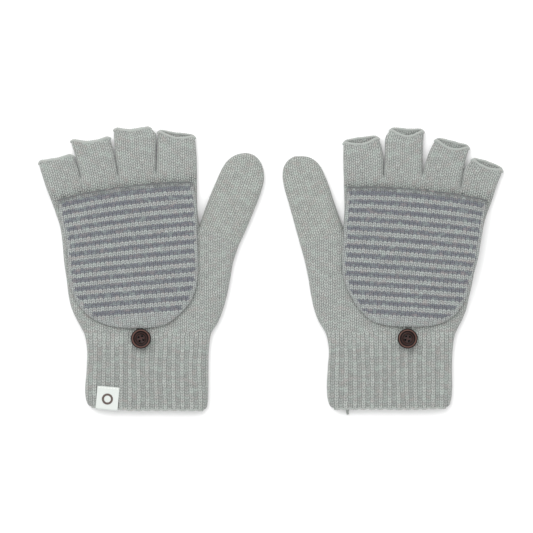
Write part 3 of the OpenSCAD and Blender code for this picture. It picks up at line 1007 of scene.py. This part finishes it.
def build_button(side, materials):
    """The button's own solid with its edges eased. Its mask is the share of its radius, 0 at its middle."""
    source = frame["nodes"][side + "_button"]
    mesh = source.data.copy()
    mesh.transform(source.matrix_world)
    mesh.materials.clear()
    obj = bpy.data.objects.new(side + "_horn_button", mesh)
    bpy.context.scene.collection.objects.link(obj)
    apply(obj, "WELD", merge_threshold=0.002 * MM)
    apply(obj, "BEVEL", width=0.16 * MM, segments=2, limit_method="ANGLE", angle_limit=math.radians(24))
    obj.data.polygons.foreach_set("use_smooth", np.ones(len(obj.data.polygons), bool))
    points = np.empty(len(obj.data.vertices) * 3)
    obj.data.vertices.foreach_get("co", points)
    low, high = (np.array(c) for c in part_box(side + "_button"))
    off_centre = (points.reshape(-1, 3) - (low + high) / 2)[:, :2]
    radius = np.linalg.norm(off_centre, axis=1) / (high[0] - low[0]) * 2
    mask = obj.data.attributes.new("mask", "FLOAT", "POINT")
    mask.data.foreach_set("value", radius.astype(np.float32))
    obj.data.materials.append(materials["button"])
    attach(obj, side + "_button")
    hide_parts(side + "_button")


def build_button_thread(side, materials):
    """The thread stem, its four strands up through the holes, and the knot inside the fabric."""
    x, y = button_place(side)
    stem_foot, stem_top, strand_top, knot_height, hole_offset = 8.4, 12.35, 12.45, 7.75, 1.4
    cloth = Cloth(side)
    stem = np.stack([np.full(20, x), np.full(20, y), np.linspace(stem_foot, stem_top, 20)], -1)
    add_yarn(cloth, stem, 1.25, 3, 3.2, (1, 0, 0))
    turn = math.radians(12)
    across = np.array([math.cos(turn), math.sin(turn)]) * hole_offset
    for i, j in ((1, 1), (1, -1), (-1, 1), (-1, -1)):
        at = np.array([x, y]) + i * across + j * np.array([-across[1], across[0]])
        strand = np.stack([np.full(4, at[0]), np.full(4, at[1]), np.linspace(12.0, strand_top, 4)], -1)
        add_tube(cloth, strand, 0.6, (1, 0, 0), 10)
    thread = cloth.piece(side + "_button_thread_stem", materials["button_thread"], "button_thread")
    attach(thread, side + "_button")
    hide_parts(side + "_button_thread")

    cloth = Cloth(side)
    a = np.linspace(0, 2 * math.pi, 40)
    knot = np.stack([x + 1.2 * np.cos(a), y + 1.2 * np.sin(a), np.full(40, knot_height)], -1)
    add_yarn(cloth, knot, 0.5, 2, 2.0, looped=True)
    piece = cloth.piece(side + "_thread_knot", materials["button_thread"], "button_thread")
    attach(piece, side + "_mitten")
    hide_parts(side + "_thread_anchor")


def build_label(materials):
    """A woven label folded round the edge of the left cuff's upper layer, its plain ring and its stitches."""
    width = 15.6
    middle, tilt = np.array([-28.4, 8.0]), math.radians(-5)
    right = np.array([math.cos(tilt), math.sin(tilt)])
    up = np.array([-right[1], right[0]])
    fold, lift, bend = -7.3, 8.75, 1.25
    outer = np.stack([np.linspace(9.4, fold + bend, 28), np.full(28, lift + bend)], -1)
    a = np.linspace(0, math.pi, 14)[1:-1]
    round_edge = np.stack([fold + bend - bend * np.sin(a), lift + bend * np.cos(a)], -1)
    inside = np.stack([np.linspace(fold + bend, 3.2, 16), np.full(16, lift - bend)], -1)
    profile = np.vstack([outer, round_edge, inside])
    s = np.linspace(-width / 2, width / 2, 24)
    run = along_fractions(profile)
    plan = middle + s[None, :, None] * right + profile[:, 0][:, None, None] * up
    ripples = 0.1 * np.sin(s / 2.2)[None, :] * (1 - run[:, None])
    raised_corners = 0.25 * (s / 8)[None, :] ** 4 * (run[:, None] < 0.15)
    sag = ripples + raised_corners
    p = with_height(plan, profile[:, 1][:, None] + sag)
    uv = np.stack(np.broadcast_arrays(s[None, :], run[:, None] * 30.0), -1)
    cloth = Cloth("left")
    cloth.grid(p, uv, flip=True)
    label = cloth.piece("left_woven_label", materials["label_weave"], "label_weave", 0.3)
    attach(label, "left_mitten")
    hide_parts("left_label")
    top = lift + bend + 0.05

    cloth = Cloth("left")
    a = np.linspace(0, 2 * math.pi, 90)
    for radius in (2.75, 3.2, 3.65):
        ring = middle + 0.6 * up + radius * (np.cos(a)[:, None] * right + np.sin(a)[:, None] * up)
        add_tube(cloth, with_height(ring, top + 0.04), 0.3, looped=True)
    mark = cloth.piece("left_label_ring", materials["label_mark"], "label_mark")
    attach(mark, "left_mitten")
    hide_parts("left_label_mark")

    cloth = Cloth("left")
    for i in range(-3, 4):
        at = middle + i * 2.1 * right + 8.3 * up
        ends = np.linspace(-0.75, 0.75, 7)
        add_tube(cloth, with_height(at + ends[:, None] * right, top + 0.06 - 0.5 * (ends / 0.75) ** 4), 0.2)
    sewing = cloth.piece("left_label_sewing", materials["label_thread"], "label_thread")
    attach(sewing, "left_mitten")
    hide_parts("left_label_stitches")


def build_yarn_end(materials):
    """The end of yarn that is left hanging at the right cuff's edge."""
    t = np.linspace(0, 1, 24)
    path = np.stack([29.2 + 0.5 * np.sin(2.5 * t), 2.0 - 5.2 * t, 2.2 - 0.6 * t], -1)
    cloth = Cloth("right")
    add_yarn(cloth, path, 1.0 - 0.2 * t, 3, 3.6)
    end = cloth.piece("right_yarn_end", materials["edge_yarn"], "edge_yarn")
    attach(end, "right_mitten")
    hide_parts("right_yarn_tail")


# ---- Other materials ----

def horn():
    """Dark brown horn: cloudy from dark to reddish brown, with fine streaks. Each ring is (share of radius,
    half width, tint, strength), and fades as one minus the square of the distance over its half width."""
    shader = Shader("dark_horn", roughness=0.34, Specular_IOR_Level=0.14)
    place = shader.place()
    cloud = shader.noise(place, 260.0, 4.0, 0.6)
    streak = shader.noise(place, 900.0, 3.0, 0.6)
    brown = ((cloud - 0.35) * 2.4).at_least(0.0).at_most(1.0)
    colour = shader.mix(brown, linear(18, 11, 11), linear(50, 29, 27))
    radius = shader.mask()
    # The ring at 0.84 is a painted highlight along the rim; the dark rings at 0.68 and 1.0 darken the foot of
    # the rim and the outer edge
    rings_with_painted_highlight = ((0.0, 0.5, linear(72, 50, 47), 0.7), (0.84, 0.075, linear(112, 82, 73), 0.8),
        (0.57, 0.05, linear(84, 58, 50), 0.6), (0.68, 0.08, linear(8, 5, 5), 0.9),
        (1.0, 0.09, linear(10, 6, 6), 0.9))
    for at, width, tint, share in rings_with_painted_highlight:
        away = (radius - at) / width
        colour = shader.mix((1 - away * away).at_least(0.0) * share * (cloud * 0.6 + 0.6), colour, tint)
    colour = shader.mix(streak * 0.35, colour, linear(20, 12, 12))
    return shader.finish(colour, streak, 0.02, streak * 0.16 + 0.26)


def dark_thread():
    """Nearly black sewing thread, with fine fibres along it."""
    shader = Shader("dark_sewing_thread", roughness=0.9, Specular_IOR_Level=0.08)
    _, u, v = shader.stitches()
    fibres = shader.noise(shader.join(u * 3.0, v * 4.0), 2.0, 3.0)
    return shader.finish(shader.mix(fibres, linear(5, 4, 4), linear(18, 14, 13)), fibres, 0.08)


def woven(name, light, shade, scale):
    """Satin tape: fine warp and weft threads, sin times sin."""
    shader = Shader(name, roughness=0.55, sheen=0.1)
    uv, u, v = shader.stitches()
    weave = (u * scale).sine() * (v * scale).sine() * 0.5 + 0.5
    cloud = shader.noise(uv, 1.2, 3.0)
    return shader.finish(shader.mix(weave * 0.3 + cloud * 0.3, light, shade), weave, 0.04)


# ---- Stage ----

def build_stage():
    """A plain white floor, a broad soft light overhead and a camera straight above, on a long lens."""
    bpy.ops.mesh.primitive_plane_add(size=8, location=(0, 0, -0.0002))
    floor = bpy.context.object
    floor.name = "white_floor"
    white = bpy.data.materials.new("white_paper")
    white.use_nodes = True
    white.node_tree.nodes["Principled BSDF"].inputs["Base Color"].default_value = (0.93, 0.93, 0.93, 1)
    white.node_tree.nodes["Principled BSDF"].inputs["Roughness"].default_value = 0.9
    floor.data.materials.append(white)

    world_data = bpy.data.worlds.new("studio")
    bpy.context.scene.world = world_data
    world_data.use_nodes = True
    background = world_data.node_tree.nodes["Background"]
    background.inputs["Color"].default_value = (1, 1, 1, 1)
    background.inputs["Strength"].default_value = 0.75
    for name, power, size, place in (("softbox_top", 30, 1.6, (-0.55, 0.9, 1.7)),
            ("softbox_fill", 13, 2.0, (0.7, -0.5, 1.9))):
        light = bpy.data.lights.new(name, "AREA")
        light.energy, light.size = power, size
        obj = bpy.data.objects.new(name, light)
        obj.location = place
        direction = -np.array(place) / np.linalg.norm(place)
        obj.rotation_euler = (math.acos(-direction[2]), 0, math.atan2(-direction[0], direction[1]))
        bpy.context.scene.collection.objects.link(obj)

    sensor, distance, view_width = 36, 3.0, 0.3784
    camera = bpy.data.cameras.new("camera")
    camera.sensor_width = sensor
    camera.lens = sensor * distance / view_width
    camera.clip_end = 20
    camera_object = bpy.data.objects.new("camera", camera)
    camera_object.location = (-0.00295, 0.00297, 3.008)
    bpy.context.scene.collection.objects.link(camera_object)
    bpy.context.scene.camera = camera_object
    bpy.context.scene.view_settings.view_transform = "Standard"


def build_materials():
    """Every material, by the name that the pieces ask for it; the striped knit is each mitten's own."""
    materials = {
        "grey_knit": knit("grey_heather_knit", GREY, GREY_SHADE),
        "rib_knit": knit("grey_heather_ribbing", GREY, GREY_SHADE, rib=True),
        "thumb_knit": knit("pale_heather_knit", PALE, PALE_SHADE),
        # Seam and mouth-edge yarns take the shadowed mouth greys: painted shadow where the cap's mouth
        # overhangs the seam
        "seam_yarn": yarn_material("seam_yarn", SHADOWED_MOUTH, MOUTH_SHADE),
        "edge_yarn": yarn_material("edge_yarn", EDGE, EDGE_SHADE),
        "shadowed_mouth_yarn": yarn_material("shadowed_mouth_yarn", SHADOWED_MOUTH, MOUTH_SHADE),
        "loop_yarn": yarn_material("loop_yarn", GREY, GREY_SHADE),
        "button": horn(),
        "button_thread": dark_thread(),
        "label_weave": woven("white_woven_tape", linear(207, 212, 208), linear(170, 175, 171), 14.0),
        "label_mark": woven("brown_embroidery", linear(92, 78, 72), linear(60, 48, 44), 9.0),
        "label_thread": woven("pale_sewing_thread", linear(238, 240, 235), linear(205, 208, 202), 9.0),
    }
    for side in SIDES:
        materials["striped_knit_" + side] = knit("striped_heather_knit_" + side, CAP_LIGHT, GREY_SHADE,
            stripes=(OUTLINE[side]["first_stripe"], DARK, DARK_SHADE))
    return materials


MATERIALS = build_materials()
for SIDE in SIDES:
    MITTEN = Mitten(SIDE)
    build_cuff(MITTEN, MATERIALS)
    build_hand(MITTEN, MATERIALS)
    build_fingers(MITTEN, MATERIALS)
    build_thumb(MITTEN, MATERIALS)
    build_cap(SIDE, MATERIALS)
    build_cap_seam(SIDE, MATERIALS)
    build_loop(SIDE, MATERIALS)
    build_button(SIDE, MATERIALS)
    build_button_thread(SIDE, MATERIALS)
build_label(MATERIALS)
build_yarn_end(MATERIALS)
build_stage()
